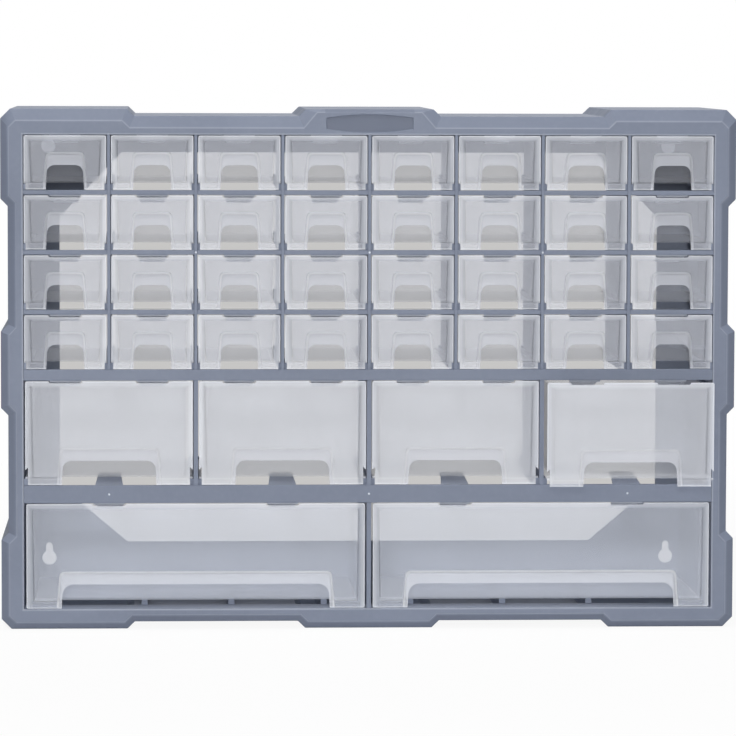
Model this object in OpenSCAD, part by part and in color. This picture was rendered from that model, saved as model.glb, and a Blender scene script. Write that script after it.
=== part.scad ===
// Wall-mountable cabinet of see-through drawers for small parts.
// A moulded front frame holds a grid of openings. Behind it stand upright dividers whose
// side rails carry the drawers. Each drawer is a tub with a finger pocket under its front.
// +X is to the right, +Y to the back and +Z up. The origin is on the underside of the
// cabinet's middle foot, half way back.

/* [Drawer grid] */
// Width of a small drawer's opening
small_cell_w = 59.1; // [52:0.1:66]
// Height of a small drawer's opening
small_cell_h = 39; // [34:0.1:48]
// Height of a medium drawer's opening
medium_cell_h = 74.4; // [60:0.1:90]
// Height of a large drawer's opening
large_cell_h = 75.4; // [60:0.1:90]
// Width of the upright bars between the small drawers
column_bar_w = 2.2; // [1.8:0.1:4]
// Width of the upright bars between the medium and the large drawers
wide_bar_w = 3.1; // [2.2:0.1:5]
// Height of the bars between rows of small drawers
row_bar_h = 3.2; // [2.4:0.1:6]
// Height of the bar above the medium drawers
medium_bar_h = 7.7; // [6:0.1:12]
// Height of the bar above the large drawers
large_bar_h = 12.5; // [10:0.1:18]
// Thickness of all the bars, front to back
bar_t = 5; // [4:0.5:8]

/* [Housing] */
// Depth of the housing, front to back
housing_d = 160; // [155:1:200]
// Width of the frame's face beside the openings
side_face_w = 15.9; // [14:0.1:20]
// Height of the frame's face above the openings
top_face_h = 18.2; // [17:0.1:24]
// Height of the frame's face below the openings
bottom_face_h = 14.2; // [12:0.1:20]
// Depth of the wall that lines the frame's opening
lining_d = 25; // [12:1:35]
// Thickness of the frame's lining wall
lining_wall = 2; // [1.5:0.1:3]
// Thickness of the frame's plate behind its bevel
frame_plate_t = 2; // [1.5:0.1:4]
// Thickness of the outer case
case_wall = 2; // [1.5:0.1:3]

/* [Stepped outline] */
// Depth of the recesses in the top and bottom edges
end_step = 5; // [3:0.25:6]
// Depth of the recesses in the side edges
side_step = 5.1; // [3:0.1:6]
// Length of each slope between a pad and a recess
step_run = 5.2; // [3:0.1:8]
// Width of the middle pad on the top and bottom edges
middle_pad_w = 90; // [70:1:120]
// Length of a corner pad along the top and bottom edges
corner_pad_w = 89; // [60:1:110]
// Length of a corner pad along the side edges
corner_pad_h = 63.3; // [50:0.1:75]
// Height of the middle pad on the side edges
side_pad_h = 54; // [40:1:70]
// Size of the cut across each outer corner
corner_cut = 7; // [4:0.5:9]

/* [Front bevel] */
// How far the bevel falls back at the outer edge
bevel_back = 3; // [1:0.25:5]
// Height of the bevel along the top edge
bevel_top_h = 8.9; // [6:0.1:10]
// Height of the bevel along the bottom edge
bevel_bottom_h = 5.3; // [4:0.1:7]
// Width of the bevel along the side edges
bevel_side_w = 6.3; // [4:0.1:8]
// Size of the bevel's inner corner cut
ridge_cut = 4.6; // [3:0.1:6]

/* [Label place] */
// Width at the top of the raised face around the label place
crown_w = 73; // [66:1:80]
// How far each flank of that raised face runs outwards
crown_run = 9.7; // [6:0.1:12]
// Height of bevel left above the raised face
crown_edge = 2.4; // [1.5:0.1:4]
// Width of the label recess
label_w = 61; // [40:1:62]
// Height of the label recess in the middle
label_h = 12.9; // [9:0.1:13]
// Height of the label recess at its ends
label_end_h = 7.9; // [5:0.1:9]
// Depth of the label recess
label_depth = 1; // [0.5:0.1:1.5]
// Distance from the top edge to the middle of the label recess
label_drop = 10.1; // [9:0.1:11]

/* [Dividers and rails] */
// Thickness of a divider
divider_t = 1.8; // [1.2:0.1:2.4]
// Height of the stop at the back end of a rail
rail_stop_h = 3; // [2:0.1:6]
// Thickness of that stop
rail_stop_t = 3; // [2:0.1:5]
// Gap between a drawer's front and the rails behind it
rail_front_gap = 0.7; // [0.4:0.1:2]
// Gap between the dividers and the rear panel
divider_gap = 5.5; // [4:0.5:8]
// Width of a floor runner
runner_w = 4.4; // [3:0.1:6]
// Distances of the floor runners from the middle of the cabinet
runner_places = [31, 97, 159];

/* [Retaining tongues] */
// Distance of a tongue's root behind the face
tongue_front = 1; // [0.5:0.1:1.2]
// Width of a tongue at its root
tongue_root_w = 22; // [18:0.5:26]
// Width of a tongue at its tip
tongue_tip_w = 17; // [12:0.5:18]
// Length of a tongue
tongue_len = 32; // [24:1:38]
// Thickness of a tongue
tongue_t = 1.2; // [1:0.1:1.6]
// How far the tip hangs below the top of the opening
tongue_drop = 6.5; // [5.5:0.1:7.5]
// Straight length at the root before the tongue slopes down
tongue_flat = 6; // [5:0.5:9]
// Length of the support leaf under the middle of a medium drawer
leaf_len = 45; // [35:1:60]
// Width of a support leaf at its root
leaf_root_w = 19.8; // [17:0.1:24]
// Width of a support leaf along its length
leaf_w = 16.4; // [12:0.1:17]
// Length of the slope at the front of a support leaf
leaf_ramp = 30; // [20:1:34]
// Thickness of a support leaf
leaf_t = 2; // [1.5:0.1:3]

/* [Rear panel] */
// Thickness of the rear panel
rear_t = 2.5; // [2:0.1:4]
// Width of the window in the rear panel
window_w = 444; // [380:1:450]
// Height of the window's lower edge
window_low = 44.6; // [40:0.1:60]
// Distance from the top of the housing down to the window's upper edge
window_top_drop = 34; // [30:0.5:50]
// Width of the slanted cut at the window's lower corners
window_low_cut_w = 50; // [30:1:60]
// Height of the slanted cut at the window's lower corners
window_low_cut_h = 42; // [30:1:50]
// Width of the slanted cut at the window's upper corners
window_top_cut_w = 46; // [30:1:60]
// Height of the slanted cut at the window's upper corners
window_top_cut_h = 48; // [30:1:60]
// Distance between the left and right keyholes
keyhole_span = 460; // [440:1:470]
// Least distance from a keyhole's middle to the side of the housing
keyhole_side = 18; // [14:1:24]
// Height of the lower keyholes
keyhole_low = 32.7; // [24:0.1:34]
// Distance from the top of the housing down to the upper keyholes
keyhole_top_drop = 29; // [26:0.5:34]
// Radius of a keyhole's round head
keyhole_r = 5.25; // [4:0.05:6]
// Width of a keyhole's slot
keyhole_slot_w = 5; // [3.5:0.1:6]
// Height of a keyhole in all
keyhole_h = 16.6; // [14:0.1:20]

/* [Drawers] */
// Depth of a drawer, from its face to its back
drawer_d = 140; // [110:1:148]
// Thickness of a drawer's front
front_t = 1.6; // [1.2:0.1:2.5]
// Thickness of a drawer's walls and floor
tub_wall = 1.2; // [0.9:0.1:1.6]
// Thickness that the tub's own front wall adds behind the front
tub_front_t = 0.8; // [0.4:0.1:1.2]
// Distance of a tub's lips, which ride on the rails, from the sides of its front
lip_inset = 0.2; // [0.1:0.05:0.4]
// Gap beside a small drawer's front
small_gap_x = 0.6; // [0.4:0.05:1]
// Gap beside a medium drawer's front, from the small drawers' grid
medium_gap_x = 1.15; // [0.9:0.05:1.6]
// Gap beside a large drawer's front, from the small drawers' grid
large_gap_x = 1.75; // [1.2:0.05:2.2]
// Gap above and below a drawer's front
front_gap_z = 0.5; // [0.4:0.05:0.8]
// Radius of a front's corners
front_r = 1.2; // [0.5:0.1:2.5]
// Distance of a tub's rim from the side of its front
rim_inset = 3.4; // [3:0.1:4.5]
// Distance of a tub's floor from the side of its front
foot_inset = 4.6; // [4.5:0.1:5]
// Distance of a tub's rim below the top of its front
rim_drop = 3.4; // [2.8:0.1:4]
// Height of a tub's underside above the lower edge of its front
foot_h = 4.3; // [4:0.1:6]
// Radius of a tub's long bottom edges
tub_r = 2.5; // [1.8:0.1:3.5]
// Width of the shallow notch in a front's upper edge, under a tongue
notch_w = 24; // [22:0.1:28]
// Depth of that notch
notch_h = 1.4; // [1.2:0.1:1.8]
// Width of the relief at a small front's lower corners
small_relief_w = 1.3; // [0.8:0.1:2]
// Height of the relief at a small front's lower corners
small_relief_h = 5.6; // [4:0.1:8]
// Width of the relief at a medium front's lower corners
medium_relief_w = 1.9; // [1:0.1:2.5]
// Height of the relief at a medium front's lower corners
medium_relief_h = 12.5; // [8:0.1:18]
// Running gap between a drawer and its rails and stops
run_gap = 0.3; // [0.2:0.05:0.5]
// Which medium drawer stands open, counted from the left
open_drawer = 4; // [1:1:4]
// How far that drawer stands open
open_by = 20; // [0:1:60]

/* [Finger pockets] */
// Width of the mouth in a small drawer's front
small_mouth_w = 27; // [22:0.5:34]
// Width of the mouth in a medium drawer's front
medium_mouth_w = 67; // [50:0.5:80]
// Width of the mouth in a large drawer's front
large_mouth_w = 190; // [150:0.5:200]
// Height of every mouth
mouth_h = 17.2; // [15:0.1:18]
// Radius of a small mouth's upper corners
small_mouth_r = 5.6; // [3:0.1:7]
// Radius of a medium mouth's upper corners
medium_mouth_r = 6.5; // [3:0.1:9]
// Radius of a large mouth's upper corners
large_mouth_r = 7.9; // [3:0.1:9]
// How much narrower a mouth is at the top, on each side
mouth_lean = 1; // [0.5:0.1:2]
// Height of a pocket above the lower edge of the front
pocket_h = 26; // [23:0.1:28]
// Depth of a pocket, from the face of the drawer
pocket_d = 16; // [14:0.5:22]
// How far a pocket's roof falls towards its back
pocket_fall = 4; // [2:0.1:6]
// Space between a small mouth and its pocket's side
small_pocket_side = 0.4; // [0.2:0.1:1]
// Space between a wide mouth and its pocket's side
wide_pocket_side = 1.8; // [0.5:0.1:3]
// How much narrower a pocket is at the top, on each side
pocket_lean = 1.8; // [1:0.1:3]
// Radius of a pocket's upper corners
pocket_r = 2.5; // [1.8:0.1:4]

/* [Hidden] */
$fn = 48;
// Flat pieces of an arc that is shallow and long
wide_arc_fn = 360;
// Overlap that fuses two shapes of one solid
eps = 0.01;
// How far a cutting shape runs past what it cuts
past = 1;

// The grid's counts, which the list of nodes fixes
columns = 8;
small_rows = 4;
small_in_medium = 2;
small_in_large = 4;
medium_drawers = columns / small_in_medium;
large_drawers = columns / small_in_large;

// Widths across the grid
small_pitch = small_cell_w + column_bar_w;
function span_w(cells) = cells * small_pitch - column_bar_w;
medium_cell_w = span_w(small_in_medium);
large_cell_w = span_w(small_in_large);
medium_pitch = medium_cell_w + column_bar_w;
large_pitch = large_cell_w + column_bar_w;
opening_w = span_w(columns);
housing_w = max(opening_w + 2 * side_face_w, keyhole_span + 2 * keyhole_side);

// Heights up the grid
large_z = bottom_face_h;
large_bar_z = large_z + large_cell_h;
medium_z = large_bar_z + large_bar_h;
medium_bar_z = medium_z + medium_cell_h;
small_z = medium_bar_z + medium_bar_h;
row_pitch = small_cell_h + row_bar_h;
opening_top = small_z + small_rows * row_pitch - row_bar_h;
housing_h = opening_top + top_face_h;
opening_h = opening_top - large_z;

// Places from front to back
front_y = -housing_d / 2;
back_y = housing_d / 2;
plate_y = front_y + bevel_back;
case_y = plate_y + frame_plate_t;
lining_y = front_y + lining_d;
panel_y = back_y - rear_t;
divider_end_y = panel_y - divider_gap;
bar_back_y = front_y + bar_t;
rail_y = front_y + front_t + rail_front_gap;
rail_stop_y = front_y + drawer_d + run_gap;
rail_end_y = rail_stop_y + rail_stop_t;

// Drawers
floor_rise = front_gap_z + foot_h;
rail_top = floor_rise - run_gap;
// A rail is as wide as the relief that shows it, measured from the small drawers' grid
small_ledge_w = small_gap_x + small_relief_w;
medium_ledge_w = medium_gap_x + medium_relief_w;

function small_x(column) = (column - (columns - 1) / 2) * small_pitch;
function medium_x(place) = (place - (medium_drawers - 1) / 2) * medium_pitch;
function large_x(place) = (place - (large_drawers - 1) / 2) * large_pitch;
function row_z(row) = small_z + (small_rows - row) * row_pitch;

// ---- Colours ----
module housing_colour() { color([0.51, 0.54, 0.60]) children(); }
module drawer_colour() { color([0.85, 0.87, 0.90, 0.55]) children(); }

// ---- Extrusion helpers ----
// An upright outline, drawn in X and Z, run from y0 to y1.
module along_y(y0, y1) {
    translate([0, y1, 0]) rotate([90, 0, 0]) linear_extrude(y1 - y0) children();
}

// A side profile, drawn in Y and Z, run across a width centred on X = 0.
module across_x(w) {
    translate([-w / 2, 0, 0]) rotate([90, 0, 90]) linear_extrude(w) children();
}

// A box from its lowest to its highest corner.
module block(low, high) { translate(low) cube(high - low); }

// A shape that narrows upwards by lean on each side, with its two upper corners rounded.
module arch(w, h, lean, r) {
    half = w / 2;
    t = lean / h;
    s = sqrt(1 + t * t);
    centre_x = half - t * (h - r) - r * s;
    side_x = centre_x + r / s;
    side_z = h - r + r * t / s;
    polygon([
        [-half, 0], [half, 0], [side_x, side_z], [centre_x, h - r], [centre_x, h],
        [-centre_x, h], [-centre_x, h - r], [-side_x, side_z]
    ]);
    for (side = [-1, 1]) translate([side * centre_x, h - r]) circle(r);
}

// ---- The stepped outline ----
// One corner of the outline, from the middle pad round to the side pad, drawn for a corner
// at the top right of a centred outline. Slopes and cuts keep parallel as it is inset.
inset_shift = tan(22.5);
function corner(end_in, side_in, cut) =
    let (x = housing_w / 2 - side_in, z = housing_h / 2 - end_in)
    let (ex = inset_shift * end_in, sx = inset_shift * side_in)
    let (pad_x = housing_w / 2 - corner_pad_w, pad_z = housing_h / 2 - corner_pad_h)
    [
        [middle_pad_w / 2 - ex, z],
        [middle_pad_w / 2 + step_run - ex, z - end_step],
        [pad_x - step_run + ex, z - end_step],
        [pad_x + ex, z],
        [x - cut, z],
        [x, z - cut],
        [x, pad_z + sx],
        [x - side_step, pad_z - step_run + sx],
        [x - side_step, side_pad_h / 2 + step_run - sx],
        [x, side_pad_h / 2 - sx]
    ];

function backwards(points) = [for (i = [len(points) - 1:-1:0]) points[i]];
function flipped(points, fx, fz) = [for (p = points) [fx * p[0], fz * p[1]]];
function raised(points) = [for (p = points) [p[0], p[1] + housing_h / 2]];

// The whole outline, clockwise from the top middle, out of a top and a bottom corner.
function round_trip(top, bottom) = raised(concat(
    top, backwards(flipped(bottom, 1, -1)),
    flipped(bottom, -1, -1), backwards(flipped(top, -1, 1))
));

function outline(inset) =
    let (one = corner(inset, inset, corner_cut - inset * (2 - sqrt(2))))
    round_trip(one, one);

// Room inside the housing: the lined opening in front and the case behind it.
module inside() {
    along_y(front_y, lining_y) opening(0);
    along_y(lining_y, panel_y) polygon(outline(case_wall));
}

// ---- Housing ----
// A flat-topped block between two convex outlines with as many points: the front one on the
// frame's face and the rear one behind the bevel.
module bevelled_block(front, rear) {
    n = len(front);
    points = concat(
        [for (p = front) [p[0], front_y, p[1]]],
        [for (p = rear) [p[0], plate_y, p[1]]]
    );
    sides = [for (i = [0:n - 1], half = [0, 1])
        let (j = (i + 1) % n)
        half == 0 ? [i, n + i, n + j] : [i, n + j, j]];
    polyhedron(points, concat([[for (i = [0:n - 1]) i]], [[for (i = [n - 1:-1:0]) n + i]], sides));
}

// The parts of the face, each as a convex outline out of the points of a corner.
function middle_pad(c) = concat(
    [[-c[1][0], 0], [-c[1][0], c[1][1]], [-c[0][0], c[0][1]]], [c[0], c[1], [c[1][0], 0]]
);
function corner_pad(c) = [for (i = [2:7]) c[i]];
function side_pad(c) = [
    [0, c[8][1]], c[8], c[9], [c[9][0], -c[9][1]], [c[8][0], -c[8][1]], [0, -c[8][1]]
];
function recess_box(top, bottom) = [
    [-top[7][0], top[1][1]], [top[7][0], top[1][1]],
    [bottom[7][0], -bottom[1][1]], [-bottom[7][0], -bottom[1][1]]
];

// The bevelled face: a block as wide and high as the recesses, and the pads around it. The
// middle pad on top has the raised face for the label place.
module bevelled_face() {
    rear = corner(0, 0, corner_cut);
    top = corner(bevel_top_h, bevel_side_w, ridge_cut);
    bottom = corner(bevel_bottom_h, bevel_side_w, ridge_cut);
    crown = [
        [crown_w / 2, housing_h / 2 - crown_edge],
        [crown_w / 2 + crown_run, top[1][1]]
    ];
    translate([0, 0, housing_h / 2]) {
        bevelled_block(recess_box(top, bottom), recess_box(rear, rear));
        bevelled_block(middle_pad(crown), middle_pad(rear));
        mirror([0, 0, 1]) bevelled_block(middle_pad(bottom), middle_pad(rear));
        for (side = [0, 1]) mirror([side, 0, 0]) {
            bevelled_block(corner_pad(top), corner_pad(rear));
            mirror([0, 0, 1]) bevelled_block(corner_pad(bottom), corner_pad(rear));
            bevelled_block(side_pad(top), side_pad(rear));
        }
    }
}

module label_outline() {
    sag = (label_h - label_end_h) / 2;
    r = (label_w * label_w / 4 + sag * sag) / (2 * sag);
    intersection() {
        square([label_w, label_h], center = true);
        translate([0, label_h / 2 - r]) circle(r, $fn = wide_arc_fn);
        translate([0, r - label_h / 2]) circle(r, $fn = wide_arc_fn);
    }
}

// The opening's outline, grown by more on every side.
module opening(more) {
    translate([-opening_w / 2 - more, large_z - more])
        square([opening_w + 2 * more, opening_h + 2 * more]);
}

module front_frame() housing_colour() {
    difference() {
        union() {
            bevelled_face();
            along_y(plate_y, case_y) polygon(outline(0));
        }
        along_y(front_y - past, case_y + past) opening(0);
        translate([0, 0, housing_h - label_drop])
            along_y(front_y - past, front_y + label_depth) label_outline();
    }
}

// The wall round the openings, behind the face.
module lining() housing_colour() {
    difference() {
        along_y(case_y, lining_y) opening(lining_wall);
        along_y(case_y - past, lining_y + past) opening(0);
    }
}

module outer_case() housing_colour() {
    difference() {
        along_y(case_y, back_y) polygon(outline(0));
        along_y(case_y - past, back_y + past) polygon(outline(case_wall));
    }
}

// A keyhole with its round head at the origin and its slot above it.
module keyhole() {
    circle(keyhole_r);
    slot_top = keyhole_h - keyhole_r - keyhole_slot_w / 2;
    translate([-keyhole_slot_w / 2, 0]) square([keyhole_slot_w, slot_top]);
    translate([0, slot_top]) circle(keyhole_slot_w / 2);
}

module window_outline() {
    low = window_low;
    high = housing_h - window_top_drop;
    half = window_w / 2;
    polygon([
        [-half + window_low_cut_w, low], [half - window_low_cut_w, low],
        [half, low + window_low_cut_h], [half, high - window_top_cut_h],
        [half - window_top_cut_w, high], [-half + window_top_cut_w, high],
        [-half, high - window_top_cut_h], [-half, low + window_low_cut_h]
    ]);
}

module rear_panel() housing_colour() {
    difference() {
        along_y(panel_y, back_y) polygon(outline(case_wall));
        along_y(panel_y - past, back_y + past) {
            window_outline();
            for (side = [-1, 1], z = [keyhole_low, housing_h - keyhole_top_drop])
                translate([side * keyhole_span / 2, z]) keyhole();
        }
    }
}

// ---- Tongues and leaves ----
// A springy tongue under the top of an opening. It slopes down and back, so that a drawer's
// back wall meets its tip. The origin is the middle of the opening's top edge, and y0 is the
// place of the root.
module tongue(y0) {
    y1 = front_y + tongue_front + tongue_flat;
    y2 = front_y + tongue_front + tongue_len;
    intersection() {
        across_x(tongue_root_w + past) polygon([
            [y0, 0], [y1, 0], [y2, tongue_t - tongue_drop],
            [y2, -tongue_drop], [y1, -tongue_t], [y0, -tongue_t]
        ]);
        translate([0, 0, -tongue_drop - past]) linear_extrude(tongue_drop + 2 * past) polygon([
            [-tongue_root_w / 2, y0], [tongue_root_w / 2, y0],
            [tongue_tip_w / 2, y2], [-tongue_tip_w / 2, y2]
        ]);
    }
}

// A leaf that rises behind the bar and holds up the middle of a medium drawer. The origin is
// the middle of the bar's top edge.
module support_leaf() {
    y0 = bar_back_y;
    y1 = y0 + leaf_ramp;
    y2 = y0 + leaf_len;
    intersection() {
        across_x(leaf_root_w + past) polygon([
            [y0, -leaf_t], [y1, rail_top - leaf_t], [y2, rail_top - leaf_t],
            [y2, rail_top], [y1, rail_top], [y0, 0]
        ]);
        translate([0, 0, -leaf_t - past]) linear_extrude(rail_top + leaf_t + 2 * past) polygon([
            [-leaf_root_w / 2, y0], [leaf_root_w / 2, y0], [leaf_w / 2, y1],
            [leaf_w / 2, y2], [-leaf_w / 2, y2], [-leaf_w / 2, y1]
        ]);
    }
}

// ---- Bars across the front ----
module bar(x0, x1, z, h) { block([x0, front_y, z], [x1, bar_back_y, z + h]); }

// The bars between the rows of small drawers, from divider to divider.
module row_bars() housing_colour() {
    for (row = [1:small_rows - 1], column = [0:columns - 1]) {
        x = small_x(column);
        bar(x - small_cell_w / 2, x + small_cell_w / 2, row_z(row) - row_bar_h, row_bar_h);
    }
}

module medium_bar() housing_colour() bar(-opening_w / 2, opening_w / 2, medium_bar_z, medium_bar_h);

module large_bar() housing_colour() bar(-opening_w / 2, opening_w / 2, large_bar_z, large_bar_h);

// One tongue over each small drawer, and two over each wider one. The top row's fronts have no
// notch, so their tongues start behind them.
module retaining_tongues() housing_colour() {
    root_y = front_y + tongue_front;
    for (column = [0:columns - 1]) {
        for (row = [1:small_rows])
            translate([small_x(column), 0, row_z(row) + small_cell_h]) tongue(row == 1 ? rail_y : root_y);
        translate([small_x(column), 0, medium_bar_z]) tongue(root_y);
    }
    for (place = [0:medium_drawers - 1]) translate([medium_x(place), 0, large_bar_z]) tongue(root_y);
}

module support_leaves() housing_colour() {
    for (place = [0:medium_drawers - 1]) translate([medium_x(place), 0, medium_z]) support_leaf();
}

// ---- Dividers and rails ----
// A rail along an opening's lower edge, with the stop at its back end. z is the height of the
// bottom of the opening that it serves.
module rail(x0, x1, z) {
    block([x0, rail_y, z], [x1, rail_end_y, z + rail_top]);
    block([x0, rail_stop_y, z + rail_top - eps], [x1, rail_end_y, z + rail_top + rail_stop_h]);
}

// An upright divider: the front bar, the web behind it from web_z0 to web_z1, and a pair of
// rails for each opening that it stands between, each reaching that far from the grid line.
module divider(x, bar_w, bar_z0, bar_z1, web_z0, web_z1, reach, rail_zs) {
    housing_colour() intersection() {
        translate([x, 0, 0]) union() {
            block([-bar_w / 2, front_y, bar_z0], [bar_w / 2, bar_back_y, bar_z1]);
            block([-divider_t / 2, bar_back_y - eps, web_z0], [divider_t / 2, divider_end_y, web_z1]);
            for (z = rail_zs) rail(-reach, reach, z);
        }
        inside();
    }
}

medium_bar_mid = medium_bar_z + medium_bar_h / 2;
large_bar_mid = large_bar_z + large_bar_h / 2;

module small_divider(number) {
    x = (number - columns / 2) * small_pitch;
    divider(x, column_bar_w, small_z, opening_top, medium_bar_mid, housing_h,
        column_bar_w / 2 + small_ledge_w, [for (row = [1:small_rows]) row_z(row)]);
}

module medium_divider(number) {
    x = (number - medium_drawers / 2) * medium_pitch;
    divider(x, wide_bar_w, medium_z, medium_bar_z, large_bar_mid, medium_bar_mid,
        column_bar_w / 2 + medium_ledge_w, [medium_z]);
}

// The divider between the large drawers has no rails, because those ride on floor runners.
module large_divider() divider(0, wide_bar_w, large_z, large_bar_z, 0, large_bar_mid, 0, []);

// The ledges on the side walls, one on each side for each row of small and medium drawers.
module side_rails() housing_colour() intersection() {
    union() for (side = [0, 1]) mirror([side, 0, 0]) {
        rail(opening_w / 2 - medium_ledge_w, housing_w / 2, medium_z);
        for (row = [1:small_rows]) rail(opening_w / 2 - small_ledge_w, housing_w / 2, row_z(row));
    }
    inside();
}

// Round-topped runners on the case's floor, under the large drawers.
module floor_runners() housing_colour() intersection() {
    top = large_z + rail_top;
    r = runner_w / 2;
    union() for (side = [-1, 1], x = runner_places) translate([side * x, 0, 0]) {
        block([-r, lining_y, 0], [r, rail_end_y, top - r]);
        translate([0, lining_y, top - r]) rotate([-90, 0, 0]) cylinder(rail_end_y - lining_y, r, r);
        block([-r, rail_stop_y, top - r - eps], [r, rail_end_y, top + rail_stop_h]);
    }
    inside();
}

// ---- Drawers ----
// The section of a tub, upside down from an arch: narrow at the floor and open at the top.
module tub_section(floor_w, rim_w, h, r) {
    translate([0, h]) mirror([0, 1]) arch(rim_w, h, (rim_w - floor_w) / 2, r);
}

// A drawer front. The origin is the middle of its lower edge. Each relief is the width and
// height of a cut at both lower corners, with a slanted top.
module drawer_front(w, h, notches, reliefs) {
    difference() {
        along_y(0, front_t) {
            translate([-w / 2 + front_r, 0]) square([w - 2 * front_r, h]);
            translate([-w / 2, front_r]) square([w, h - 2 * front_r]);
            for (side = [-1, 1], z = [front_r, h - front_r])
                translate([side * (w / 2 - front_r), z]) circle(front_r);
        }
        for (relief = reliefs, side = [0, 1]) mirror([side, 0, 0]) along_y(-past, front_t + past)
            polygon([
                [w / 2 - relief[0], -past], [w / 2 + past, -past],
                [w / 2 + past, relief[1] - relief[0] - past], [w / 2 - relief[0], relief[1]]
            ]);
        for (x = notches) translate([x, 0, h - notch_h]) along_y(-past, front_t + past) polygon([
            [-notch_w / 2 + notch_h / 2, 0], [notch_w / 2 - notch_h / 2, 0],
            [notch_w / 2 + notch_h / 2, 2 * notch_h], [-notch_w / 2 - notch_h / 2, 2 * notch_h]
        ]);
    }
}

// A finger pocket's solid, or with a wall's thickness taken off, the hollow in it.
module pocket(w, off) {
    low = off > 0 ? -past : foot_h;
    intersection() {
        along_y(front_t - eps, pocket_d - off) translate([0, low])
            arch(w - 2 * off, pocket_h - off - low, pocket_lean, pocket_r);
        across_x(w) polygon([
            [0, -past], [pocket_d, -past],
            [pocket_d, pocket_h - pocket_fall - off], [0, pocket_h - off]
        ]);
    }
}

// A whole drawer whose front is w wide, for an opening cell_h high, with its front's face at
// Y = 0 and the middle of its front's lower edge at the origin. A drawer with reliefs has lips
// along its floor, which ride on the rails.
module drawer(w, cell_h, mouth_w, mouth_r, pocket_side, notches, reliefs) {
    h = cell_h - 2 * front_gap_z;
    rim_w = w - 2 * rim_inset;
    floor_w = w - 2 * foot_inset;
    tub_h = h - rim_drop - foot_h;
    pocket_w = mouth_w + 2 * (pocket_side + tub_wall);
    difference() {
        union() {
            drawer_front(w, h, notches, reliefs);
            difference() {
                translate([0, 0, foot_h]) along_y(front_t - eps, drawer_d)
                    tub_section(floor_w, rim_w, tub_h, tub_r);
                translate([0, 0, foot_h + tub_wall])
                    along_y(front_t + tub_front_t, drawer_d - tub_wall)
                    tub_section(floor_w - 2 * tub_wall, rim_w - 2 * tub_wall, tub_h, tub_r - tub_wall);
            }
            if (len(reliefs) > 0)
                block([lip_inset - w / 2, front_t - eps, foot_h],
                    [w / 2 - lip_inset, drawer_d, foot_h + tub_wall]);
            pocket(pocket_w, 0);
        }
        pocket(pocket_w, tub_wall);
        along_y(-past, front_t + eps) translate([0, -past])
            arch(mouth_w, mouth_h + past, mouth_lean, mouth_r);
    }
}

module small_drawer(row, column) drawer_colour() {
    translate([small_x(column - 1), front_y, row_z(row) + front_gap_z])
        drawer(small_cell_w - 2 * small_gap_x, small_cell_h, small_mouth_w, small_mouth_r,
            small_pocket_side, row == 1 ? [] : [0], [[small_relief_w, small_relief_h]]);
}

module medium_drawer(number) drawer_colour() {
    out = number == open_drawer ? open_by : 0;
    translate([medium_x(number - 1), front_y - out, medium_z + front_gap_z])
        drawer(medium_cell_w - 2 * medium_gap_x, medium_cell_h, medium_mouth_w, medium_mouth_r,
            wide_pocket_side, [-small_pitch / 2, small_pitch / 2],
            [[medium_relief_w, medium_relief_h]]);
}

module large_drawer(number) drawer_colour() {
    translate([large_x(number - 1), front_y, large_z + front_gap_z])
        drawer(large_cell_w - 2 * large_gap_x, large_cell_h, large_mouth_w, large_mouth_r,
            wide_pocket_side, [-medium_pitch / 2, medium_pitch / 2], []);
}

front_frame();
lining();
outer_case();
rear_panel();
floor_runners();
side_rails();
large_divider();
row_bars();
medium_bar();
large_bar();
retaining_tongues();
support_leaves();
for (number = [1:columns - 1])
    small_divider(number);
for (number = [1:medium_drawers - 1])
    medium_divider(number);
for (row = [1:small_rows], column = [1:columns])
    small_drawer(row, column);
for (number = [1:medium_drawers])
    medium_drawer(number);
for (number = [1:large_drawers])
    large_drawer(number);
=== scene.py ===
"""Looks of the parts bin cabinet: materials, soft edges, gate marks, light and camera.

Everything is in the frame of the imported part: +X right, +Y back, +Z up, in metres.
"""

import math

import bmesh
import bpy
from mathutils import Matrix, Vector


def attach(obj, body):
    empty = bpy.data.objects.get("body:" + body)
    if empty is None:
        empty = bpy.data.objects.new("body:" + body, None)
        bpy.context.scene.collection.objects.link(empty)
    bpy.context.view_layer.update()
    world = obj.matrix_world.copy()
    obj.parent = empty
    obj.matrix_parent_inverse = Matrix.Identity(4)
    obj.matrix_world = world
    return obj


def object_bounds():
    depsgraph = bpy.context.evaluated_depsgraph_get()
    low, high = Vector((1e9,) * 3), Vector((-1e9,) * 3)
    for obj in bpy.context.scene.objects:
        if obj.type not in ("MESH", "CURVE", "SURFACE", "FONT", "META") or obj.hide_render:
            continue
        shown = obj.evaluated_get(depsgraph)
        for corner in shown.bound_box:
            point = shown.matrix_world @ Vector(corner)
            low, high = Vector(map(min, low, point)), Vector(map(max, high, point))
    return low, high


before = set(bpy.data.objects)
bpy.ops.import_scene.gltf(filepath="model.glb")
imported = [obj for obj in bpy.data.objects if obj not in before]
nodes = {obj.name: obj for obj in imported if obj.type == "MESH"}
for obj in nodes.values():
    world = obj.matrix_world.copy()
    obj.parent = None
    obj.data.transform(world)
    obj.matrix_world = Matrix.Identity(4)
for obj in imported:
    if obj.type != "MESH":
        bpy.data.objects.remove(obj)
cad_low, cad_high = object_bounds()
scene = bpy.context.scene

MM = 0.001
WHITE = (1, 1, 1, 1)

# Sizes of the drawers that their material follows, from the lower front edge of the plate.
# The pocket's half width narrows by POCKET_TAPER of the height over the tub's foot.
PLATE_T = 2.5 * MM
POCKET_D = 16.2 * MM
POCKET_H = 26 * MM
POCKET_ROUND = 5 * MM
POCKET_TAPER = 0.083
TUB_FOOT = 4.3 * MM
TUB_SIDE = 4.4 * MM

# The label place on the front frame: half its width, and its lower end below the frame's top
LABEL_HALF = 31.5 * MM
LABEL_REACH = 17.5 * MM

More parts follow.
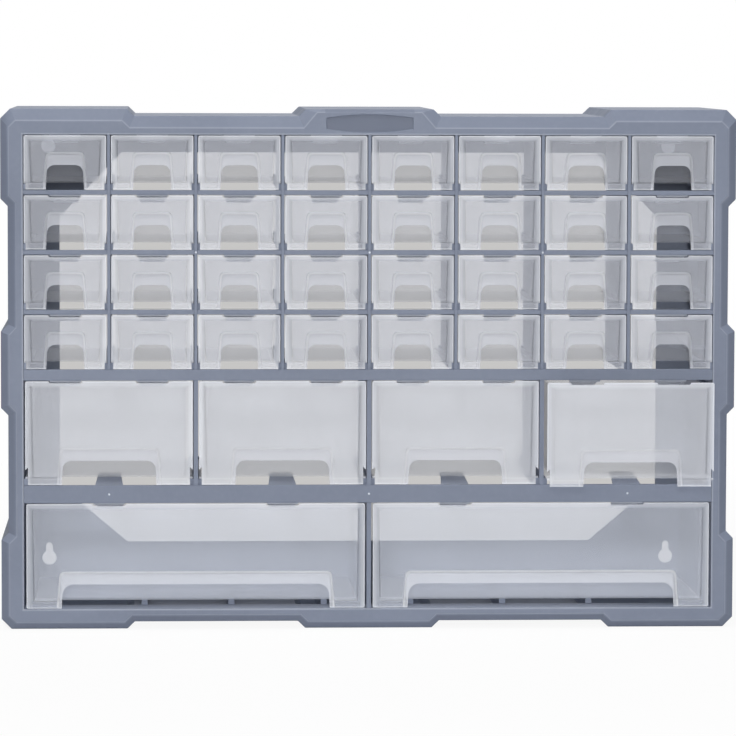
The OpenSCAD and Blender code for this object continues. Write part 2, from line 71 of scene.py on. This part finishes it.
# Radius of the soft edges
FACE_EDGE = 0.4 * MM
INNER_EDGE = 0.25 * MM

# The cabinet's middle, which the lamps are turned to
LAMP_TARGET = Vector((0, 0, 0.18))


def srgb(r, g, b):
    """An 8-bit screen colour as the linear colour that a shader takes."""
    def linear(v):
        v /= 255
        return v / 12.92 if v <= 0.04045 else ((v + 0.055) / 1.055) ** 2.4
    return (linear(r), linear(g), linear(b), 1.0)


def box_of(name):
    """The lowest and the highest corner of a CAD node."""
    corners = [nodes[name].matrix_world @ Vector(c) for c in nodes[name].bound_box]
    return [Vector([pick(c[i] for c in corners) for i in range(3)]) for pick in (min, max)]


def middle(name):
    low, high = box_of(name)
    return (low + high) / 2


def starting(*heads):
    """The CAD nodes whose names start with one of the heads."""
    return [name for name in nodes if name.startswith(heads)]


# ---- Node helpers ----
class Tree:
    """The nodes of a material or a world, with short calls to add and join them."""

    def __init__(self, name, kind="materials"):
        self.owner = getattr(bpy.data, kind).new(name)
        self.owner.use_nodes = True
        self.nodes = self.owner.node_tree.nodes
        self.links = self.owner.node_tree.links
        self.output = "ShaderNodeOutputWorld" if kind == "worlds" else "ShaderNodeOutputMaterial"
        self.nodes.clear()

    def add(self, kind, **settings):
        node = self.nodes.new(kind)
        for key, value in settings.items():
            setattr(node, key, value)
        return node

    def feed(self, socket, value):
        """Sets a socket to a number or a colour, or joins it to another node's output."""
        if isinstance(value, (int, float, tuple)):
            socket.default_value = value
        else:
            self.links.new(value, socket)

    # Places and directions
    def coords(self, kind="Object"):
        return self.add("ShaderNodeTexCoord").outputs[kind]

    def geometry(self):
        return self.add("ShaderNodeNewGeometry").outputs

    def light_path(self):
        return self.add("ShaderNodeLightPath").outputs

    def axes(self, vector, scale=(1.0, 1.0, 1.0)):
        """The three parts of a vector, each times its scale."""
        scaled = self.add("ShaderNodeVectorMath", operation="MULTIPLY")
        self.feed(scaled.inputs[0], vector)
        self.feed(scaled.inputs[1], tuple(scale))
        split = self.add("ShaderNodeSeparateXYZ")
        self.feed(split.inputs[0], scaled.outputs[0])
        return split.outputs

    # Numbers
    def math(self, operation, *values):
        node = self.add("ShaderNodeMath", operation=operation)
        for socket, value in zip(node.inputs, values):
            self.feed(socket, value)
        return node.outputs[0]

    def fold(self, operation, first, *rest):
        for value in rest:
            first = self.math(operation, first, value)
        return first

    def plus(self, *values):
        return self.fold("ADD", *values)

    def times(self, *values):
        return self.fold("MULTIPLY", *values)

    def least(self, *values):
        return self.fold("MINIMUM", *values)

    def most(self, *values):
        return self.fold("MAXIMUM", *values)

    def minus(self, a, b):
        return self.math("SUBTRACT", a, b)

    def size(self, value):
        return self.math("ABSOLUTE", value)

    def ramp(self, value, start, end, low=0.0, high=1.0):
        """A straight ramp from low at start to high at end, level beyond them."""
        node = self.add("ShaderNodeMapRange")
        for key, number in (("Value", value), ("From Min", start), ("From Max", end),
                            ("To Min", low), ("To Max", high)):
            self.feed(node.inputs[key], number)
        return node.outputs["Result"]

    def noise(self, vector, scale, detail=2.0, rough=0.5, stretch=None):
        if stretch:
            mapping = self.add("ShaderNodeMapping")
            self.feed(mapping.inputs["Vector"], vector)
            self.feed(mapping.inputs["Scale"], stretch)
            vector = mapping.outputs["Vector"]
        node = self.add("ShaderNodeTexNoise")
        for key, value in (("Vector", vector), ("Scale", scale), ("Detail", detail), ("Roughness", rough)):
            self.feed(node.inputs[key], value)
        return node.outputs["Fac"]

    # Colours and shaders
    def blend(self, factor, a, b):
        node = self.add("ShaderNodeMix", data_type="RGBA")
        for key, value in (("Factor", factor), ("A", a), ("B", b)):
            self.feed([s for s in node.inputs if s.name == key and s.enabled][0], value)
        return [s for s in node.outputs if s.enabled][0]

    def bump(self, height, strength, distance):
        node = self.add("ShaderNodeBump")
        for key, value in (("Strength", strength), ("Distance", distance), ("Height", height)):
            self.feed(node.inputs[key], value)
        return node.outputs["Normal"]

    def shader(self, kind, **sockets):
        node = self.add(kind)
        for key, value in sockets.items():
            self.feed(node.inputs[key.replace("_", " ")], value)
        return node.outputs[0]

    def mix(self, factor, a, b):
        node = self.add("ShaderNodeMixShader")
        for socket, value in zip(node.inputs, (factor, a, b)):
            self.feed(socket, value)
        return node.outputs[0]

    def show(self, shader):
        """Joins the shader to the output and returns the material or world."""
        self.feed(self.add(self.output).inputs["Surface"], shader)
        return self.owner

    def principled(self, **sockets):
        return self.show(self.shader("ShaderNodeBsdfPrincipled", **sockets))


# ---- Materials ----
FACE_Y = box_of("front_frame")[0].y
OPENING_LOW, OPENING_HIGH = box_of("lining")
LINING_WALL = Vector((2 * MM, 0, 2 * MM))
OPENING_LOW += LINING_WALL
OPENING_HIGH -= LINING_WALL


def frame_tones_and_painted_light(t, at, colour):
    """Painted light on the front frame, and its darker label place, over the face's colour.

    Its ridges and the rim of its opening are a little paler than the face, a painted highlight.
    The label place is darker. The bevels at the sides and below are darker, a painted shade on
    the faces that don't look upwards.
    """
    x, y, z = t.axes(at)
    fall = t.minus(y, FACE_Y)
    wide = t.size(x)
    beyond = t.most(t.minus(wide, OPENING_HIGH.x), t.minus(OPENING_LOW.z, z), t.minus(z, OPENING_HIGH.z))

    near_label = t.times(t.math("LESS_THAN", wide, LABEL_HALF),
                         t.math("GREATER_THAN", z, cad_high.z - LABEL_REACH))
    sunk = t.times(near_label, t.ramp(fall, 0.1 * MM, 0.6 * MM))
    # Painted highlight along the ridges and the rim of the opening.
    ridge_highlight = t.times(t.ramp(fall, 0.02 * MM, 0.1 * MM), t.ramp(fall, 0.5 * MM, 0.25 * MM),
                    t.minus(1.0, near_label))
    rim = t.times(t.ramp(beyond, 1.3 * MM, 0.9 * MM), t.ramp(fall, 1.2 * MM, 0.6 * MM))
    colour = t.blend(t.plus(t.times(ridge_highlight, 0.16), t.times(rim, 0.2)), colour, srgb(214, 219, 230))
    colour = t.blend(t.times(sunk, 0.75), colour, srgb(112, 120, 138))

    # Painted shade: the bevels at the sides and below, which don't face upwards, are painted darker.
    upwards = t.axes(t.geometry()["True Normal"])[2]
    bevel = t.times(t.ramp(fall, 0.5 * MM, 1.0 * MM), t.ramp(beyond, 2.0 * MM, 3.0 * MM),
                    t.ramp(upwards, 0.15, 0.05))
    return t.blend(t.times(bevel, 0.5), colour, srgb(100, 107, 124))


def housing_material(name, dark, light, speck, tones_and_painted_light=None):
    """Satin moulded plastic: a fine grain, faint flow clouds and a little unevenness of gloss."""
    t = Tree(name)
    at = t.coords()
    clouds = t.noise(at, 9.0, 3.0, 0.55, stretch=(1.0, 1.0, 1.6))
    colour = t.blend(t.ramp(clouds, 0.35, 0.65), dark, light)
    colour = t.blend(t.ramp(t.noise(at, 260.0), 0.45, 0.75, 0.0, 0.12), colour, speck)
    # Here the front frame gets its painted highlights and painted shade.
    if tones_and_painted_light:
        colour = tones_and_painted_light(t, at, colour)
    rough = t.ramp(t.noise(at, 40.0, 3.0), 0.35, 0.65, 0.46, 0.58)
    return t.principled(Base_Color=colour, Roughness=rough, Specular_IOR_Level=0.4,
                        Normal=t.bump(t.noise(at, 1500.0, 2.0, 0.6), 0.05, 0.3 * MM))


def tongue_material():
    """The housing's plastic, painted paler behind the tongue's root as painted light."""
    t = Tree("tongue_painted_light")
    at = t.coords()
    # Painted light: the tongue is painted paler from just behind its root.
    painted_pale = t.times(t.ramp(t.axes(at)[1], FACE_Y, FACE_Y + 2.4 * MM),
                   t.ramp(t.noise(at, 60.0, 3.0), 0.2, 0.5, 0.75, 1.0))
    return t.principled(Base_Color=t.blend(painted_pale, srgb(120, 127, 143), srgb(206, 210, 220)), Roughness=0.5)


def gate_material():
    """A pale, mottled colour for the gate marks where the moulding's sprues came off."""
    t = Tree("gate_white")
    tone = t.ramp(t.noise(t.coords(), 2500.0, 2.0), 0.35, 0.65)
    return t.principled(Base_Color=t.blend(tone, srgb(198, 205, 218), srgb(222, 227, 237)), Roughness=0.7)


# Each kind of drawer: the tub's outline lies top below the plate's upper edge, and the finger
# pocket reaches pocket_half to each side of the middle. The milk is the plastic's own colour. The
# next two colours are painted light: the front plate over the pocket is painted paler, and the
# pocket's outline gets a painted highlight. The three alphas are those of the front plate, the tub
# and the pocket's walls.
DRAWERS = {
    "small": dict(top=3.4 * MM, pocket_half=15.1 * MM,
                  milk=srgb(217, 221, 232), hood_painted_light=srgb(218, 221, 230), pocket_line_highlight=srgb(213, 216, 224),
                  plate_alpha=0.27, tub_alpha=0.135, pocket_alpha=0.12),
    "medium": dict(top=4.0 * MM, pocket_half=36.5 * MM,
                   milk=srgb(222, 225, 233), hood_painted_light=srgb(221, 223, 231), pocket_line_highlight=srgb(222, 224, 230),
                   plate_alpha=0.35, tub_alpha=0.22, pocket_alpha=0.10),
    "large": dict(top=3.7 * MM, pocket_half=98.0 * MM,
                  milk=srgb(230, 236, 249), hood_painted_light=srgb(240, 243, 250), pocket_line_highlight=srgb(244, 246, 250),
                  plate_alpha=0.24, tub_alpha=0.12, pocket_alpha=0.29),
}
FORWARD_SCATTER = 0.7


def drawer_material(name, size, top, pocket_half, milk, hood_painted_light, pocket_line_highlight,
                    plate_alpha, tub_alpha, pocket_alpha):
    """Milky clear polypropylene for a drawer whose box is size.

    The front plate is the milkiest and the thin tub is clearer. Walls, floors and roofs that run
    front to back are looked at along their length, so they are milkier, and they are painted paler
    as painted light. The plate's polished edge, its margin outside the tub, the tub's outline behind
    it and the outline of the finger pocket gather light, shown as painted highlight: paler colour
    and higher alpha. The doubled walls over the pocket are painted paler too, as painted light. The
    milk scatters light forwards, so it takes less from a lamp's light than from the view behind it.
    """
    t = Tree(name)
    at = t.coords()
    width, _, height = size
    x, y, z = t.axes(t.coords("Generated"), size)

    # Distances: from the plate's edge, into the tub's outline and into the pocket's outline
    side = t.least(x, t.minus(width, x))
    edge = t.least(side, z, t.minus(height, z))
    in_outline = t.least(t.minus(side, TUB_SIDE), t.minus(z, TUB_FOOT), t.minus(height - top, z))
    pocket_edge = t.minus(pocket_half, t.times(t.minus(z, TUB_FOOT), POCKET_TAPER))
    in_pocket = t.math("SMOOTH_MIN", t.minus(pocket_edge, t.size(t.minus(x, width / 2))),
                       t.minus(POCKET_H, z), POCKET_ROUND)

    # Masks
    on_plate = t.math("LESS_THAN", y, PLATE_T)
    in_tub = t.math("GREATER_THAN", y, POCKET_D)
    rim = t.ramp(edge, 1.1 * MM, 0.5 * MM)
    line = t.ramp(t.size(in_outline), 0.9 * MM, 0.3 * MM)
    hood = t.ramp(in_pocket, -0.2 * MM, 0.3 * MM)
    hood_line = t.ramp(t.size(t.minus(in_pocket, 0.5 * MM)), 0.95 * MM, 0.35 * MM)
    margin = t.most(t.ramp(side, TUB_SIDE, TUB_SIDE - 2.5 * MM),
                    t.ramp(t.minus(height, z), top, top - 1.2 * MM))
    normal = t.axes(t.geometry()["True Normal"])
    lengthwise = t.math("LESS_THAN", t.size(normal[1]), 0.6)
    level = t.math("GREATER_THAN", t.size(normal[2]), 0.6)

    clouds = t.noise(at, 14.0, 2.0, 0.5, stretch=(1.0, 0.4, 1.2))
    body = t.blend(t.ramp(clouds, 0.35, 0.65), milk, tuple(v * 1.05 for v in milk))
    # Painted light over the pocket, and a painted highlight on its outline.
    face = t.blend(hood, body, hood_painted_light)
    face = t.blend(hood_line, face, pocket_line_highlight)
    # Painted highlight on the plate's edge and its margin.
    face = t.blend(t.most(rim, t.times(margin, 0.6)), face, srgb(238, 241, 248))
    # Painted light: the lengthwise walls, floors and roofs are painted paler.
    inner = t.blend(lengthwise, body, srgb(238, 240, 245))

    # The painted highlights and the painted light over the pocket raise the plate's alpha as well.
    plate = t.plus(plate_alpha, t.times(line, 0.04), t.times(margin, 0.11), t.times(hood, 0.10),
                   t.times(t.most(rim, hood_line), 0.14))
    behind = t.plus(pocket_alpha, t.times(in_tub, tub_alpha - pocket_alpha),
                    t.times(lengthwise, 0.06), t.times(level, 0.12))
    alpha = t.plus(t.times(plate, on_plate), t.times(behind, t.minus(1.0, on_plate)))
    to_lamp = t.light_path()["Is Shadow Ray"]
    alpha = t.times(alpha, t.minus(1.0, t.times(to_lamp, FORWARD_SCATTER)))

    rough = t.ramp(t.noise(at, 60.0), 0.35, 0.65, 0.28, 0.38)
    return t.principled(Base_Color=t.blend(on_plate, inner, face), Roughness=rough,
                        Specular_IOR_Level=0.5, Alpha=alpha,
                        Normal=t.bump(t.noise(at, 90.0), 0.008, 0.5 * MM))


# ---- CAD nodes ----
def soft_edges(obj, width):
    """Rounds the CAD node's sharp edges, as a mould does."""
    weld = obj.modifiers.new("weld", "WELD")
    weld.merge_threshold = 1e-6
    flat = obj.modifiers.new("flat", "DECIMATE")
    flat.decimate_type = "DISSOLVE"
    flat.angle_limit = math.radians(0.5)
    bevel = obj.modifiers.new("bevel", "BEVEL")
    bevel.width = width
    bevel.segments = 2
    bevel.limit_method = "ANGLE"
    bevel.angle_limit = math.radians(28)
    bevel.harden_normals = True


def dress(names, material, edge):
    for name in names:
        nodes[name].data.materials.clear()
        nodes[name].data.materials.append(material)
        soft_edges(nodes[name], edge)


FACE = ("outer_case", "row_bars", "medium_bar", "large_bar",
        "small_divider", "medium_divider", "large_divider")
FACE_TONES = (srgb(121, 129, 147), srgb(127, 135, 153), srgb(144, 152, 170))
INNER = ("rear_panel", "lining", "side_rails", "floor_runners", "support_leaves")
# The inner parts are the same plastic as the face, painted paler as painted light for the dim inside.
INNER_PAINTED_LIGHT_TONES = (srgb(138, 146, 164), srgb(146, 154, 172), srgb(160, 168, 185))

dress(["front_frame"], housing_material("housing_frame", *FACE_TONES, tones_and_painted_light=frame_tones_and_painted_light), FACE_EDGE)
dress(starting(*FACE), housing_material("housing_face", *FACE_TONES), FACE_EDGE)
dress(starting(*INNER), housing_material("housing_inner", *INNER_PAINTED_LIGHT_TONES), INNER_EDGE)
dress(["retaining_tongues"], tongue_material(), INNER_EDGE)
for drawer_kind, drawer_look in DRAWERS.items():
    alike = starting(drawer_kind + "_drawer")
    box_low, box_high = box_of(alike[0])
    dress(alike, drawer_material(drawer_kind + "_drawer_milk", tuple(box_high - box_low), **drawer_look),
          INNER_EDGE)


# ---- Gate marks ----
# Radius and height in millimetres, from the foot to the dimple
GATE_PROFILE = ((0.78, 0.0), (0.74, 0.12), (0.6, 0.2), (0.42, 0.22), (0.36, 0.34), (0.22, 0.4), (0.0, 0.34))


def mesh_from(b, name, material):
    """The bmesh as a mesh of that name and material. The bmesh is freed."""
    mesh = bpy.data.meshes.new(name)
    b.to_mesh(mesh)
    b.free()
    mesh.materials.append(material)
    return mesh


def place(name, data):
    obj = bpy.data.objects.new(name, data)
    scene.collection.objects.link(obj)
    return obj


def gate_mark(name, x, z, material):
    """A moulding's gate vestige on the front face: a low stub with a broken, dimpled top."""
    b = bmesh.new()
    line = [b.verts.new((x + r * MM, FACE_Y - h * MM, z)) for r, h in GATE_PROFILE]
    edges = [b.edges.new(pair) for pair in zip(line, line[1:])]
    bmesh.ops.spin(b, geom=line + edges, cent=(x, FACE_Y, z), axis=(0, 1, 0), angle=math.tau, steps=20,
                   use_duplicate=False)
    bmesh.ops.remove_doubles(b, verts=b.verts, dist=1e-6)
    bmesh.ops.recalc_face_normals(b, faces=b.faces)
    for face in b.faces:
        face.smooth = True
    obj = place(name, mesh_from(b, name, material))
    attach(obj, "housing")


gate_white = gate_material()
row_gate_z = (box_of("small_drawer_r2_c1")[0].z + box_of("small_drawer_r3_c1")[1].z) / 2
for number in (2, 4, 6):
    gate_mark(f"gate_mark_upper_{number}", middle(f"small_divider_{number}").x, row_gate_z, gate_white)
for where, above in (("left", "medium_drawer_1"), ("middle", "medium_divider_2"),
                     ("right", "medium_drawer_4")):
    gate_mark(f"gate_mark_lower_{where}", middle(above).x, middle("large_bar").z, gate_white)


# ---- Floor, backdrop and light ----
def shadow_floor():
    """A pale floor that is white to the camera but keeps the object's soft shadow."""
    t = Tree("floor_white")
    away = t.add("ShaderNodeVectorMath", operation="LENGTH")
    t.feed(away.inputs[0], t.coords())
    white_share = t.ramp(away.outputs["Value"], 0.45, 1.2, 0.92, 1.0)
    material = t.show(t.mix(t.times(t.light_path()["Is Camera Ray"], white_share),
                            t.shader("ShaderNodeBsdfDiffuse", Color=(0.9, 0.9, 0.9, 1)),
                            t.shader("ShaderNodeEmission", Color=WHITE)))
    b = bmesh.new()
    bmesh.ops.create_grid(b, x_segments=8, y_segments=8, size=6.0)
    obj = place("floor", mesh_from(b, "floor", material))
    obj.location = (0, 0, -0.5 * MM)


def wall_card():
    """The wall just behind the rear window, in the cabinet's own shade, which is painted into its glow.

    It is darker behind the upper keyholes, a painted shadow. It shows to the camera from the front only,
    and neither lights nor shades the cabinet.
    """
    t = Tree("wall_painted_shade")
    x, _, z = t.axes(t.coords())
    # Painted shadow of the cabinet on the wall behind the upper keyholes.
    shade = t.times(t.ramp(t.size(x), 205 * MM, 222 * MM), t.ramp(z, 318 * MM, 334 * MM))
    unseen = t.most(t.minus(1.0, t.light_path()["Is Camera Ray"]), t.geometry()["Backfacing"])
    # The card's grey glow is painted shade.
    tone = t.blend(shade, srgb(199, 198, 197), srgb(128, 131, 138))
    material = t.show(t.mix(unseen, t.shader("ShaderNodeEmission", Color=tone),
                            t.shader("ShaderNodeBsdfTransparent")))
    low, high = box_of("rear_panel")
    inset, gap = 6 * MM, 2 * MM
    left, right, foot, head = low.x + inset, high.x - inset, low.z + inset, high.z - inset
    corners = [(left, foot), (right, foot), (right, head), (left, head)]
    mesh = bpy.data.meshes.new("wall_card")
    mesh.from_pydata([(x, high.y + gap, z) for x, z in corners], [], [(0, 1, 2, 3)])
    mesh.materials.append(material)
    obj = place("wall_card", mesh)


def white_world(strength, gloss_share):
    """An even pale sky for light, pure white where the camera sees it and partly so in gloss."""
    t = Tree("studio", "worlds")
    path = t.light_path()
    white_share = t.math("MULTIPLY_ADD", path["Is Glossy Ray"], gloss_share, path["Is Camera Ray"])
    scene.world = t.show(t.mix(
        white_share,
        t.shader("ShaderNodeBackground", Color=(0.97, 0.98, 1.0, 1), Strength=strength),
        t.shader("ShaderNodeBackground", Color=WHITE, Strength=1.0)))


def area(name, at, size, power):
    """A rectangular lamp at a place, turned to the cabinet's middle."""
    light = bpy.data.lights.new(name, "AREA")
    light.shape = "RECTANGLE"
    light.size, light.size_y = size
    light.energy = power
    obj = place(name, light)
    obj.location = at
    obj.rotation_euler = (LAMP_TARGET - Vector(at)).to_track_quat("-Z", "Y").to_euler()


shadow_floor()
wall_card()
white_world(strength=0.1, gloss_share=0.4)
area("key", (-0.8, -6.4, 2.15), (0.9, 0.65), 178)
area("front", (0.4, -3.3, 0.5), (1.2, 0.8), 3.5)
area("overhead", (0.0, -0.6, 2.6), (2.4, 1.4), 44)
area("rear", (0.5, 2.9, 2.4), (2.4, 1.6), 21)


# ---- Camera ----
def aim_camera(at, yaw, pitch, roll, lens):
    """A camera turned by yaw about +Z, then by pitch, then by a trace of roll, in degrees."""
    yaw, pitch, roll = (math.radians(angle) for angle in (yaw, pitch, roll))
    ahead = Vector((math.sin(yaw) * math.cos(pitch), math.cos(yaw) * math.cos(pitch), math.sin(pitch)))
    level = Vector((math.cos(yaw), -math.sin(yaw), 0))
    upright = level.cross(ahead)
    right = level * math.cos(roll) + upright * math.sin(roll)
    up = upright * math.cos(roll) - level * math.sin(roll)
    camera = place("camera", bpy.data.cameras.new("camera"))
    camera.location = at
    camera.rotation_euler = Matrix((right, up, -ahead)).transposed().to_euler()
    camera.data.sensor_width = 36
    camera.data.lens = lens
    camera.data.clip_start = 0.1
    camera.data.clip_end = 60
    scene.camera = camera


aim_camera((-0.15, -3.12, 0.405), yaw=2.807, pitch=-4.129, roll=0.151, lens=211.01)

scene.view_settings.view_transform = "Standard"
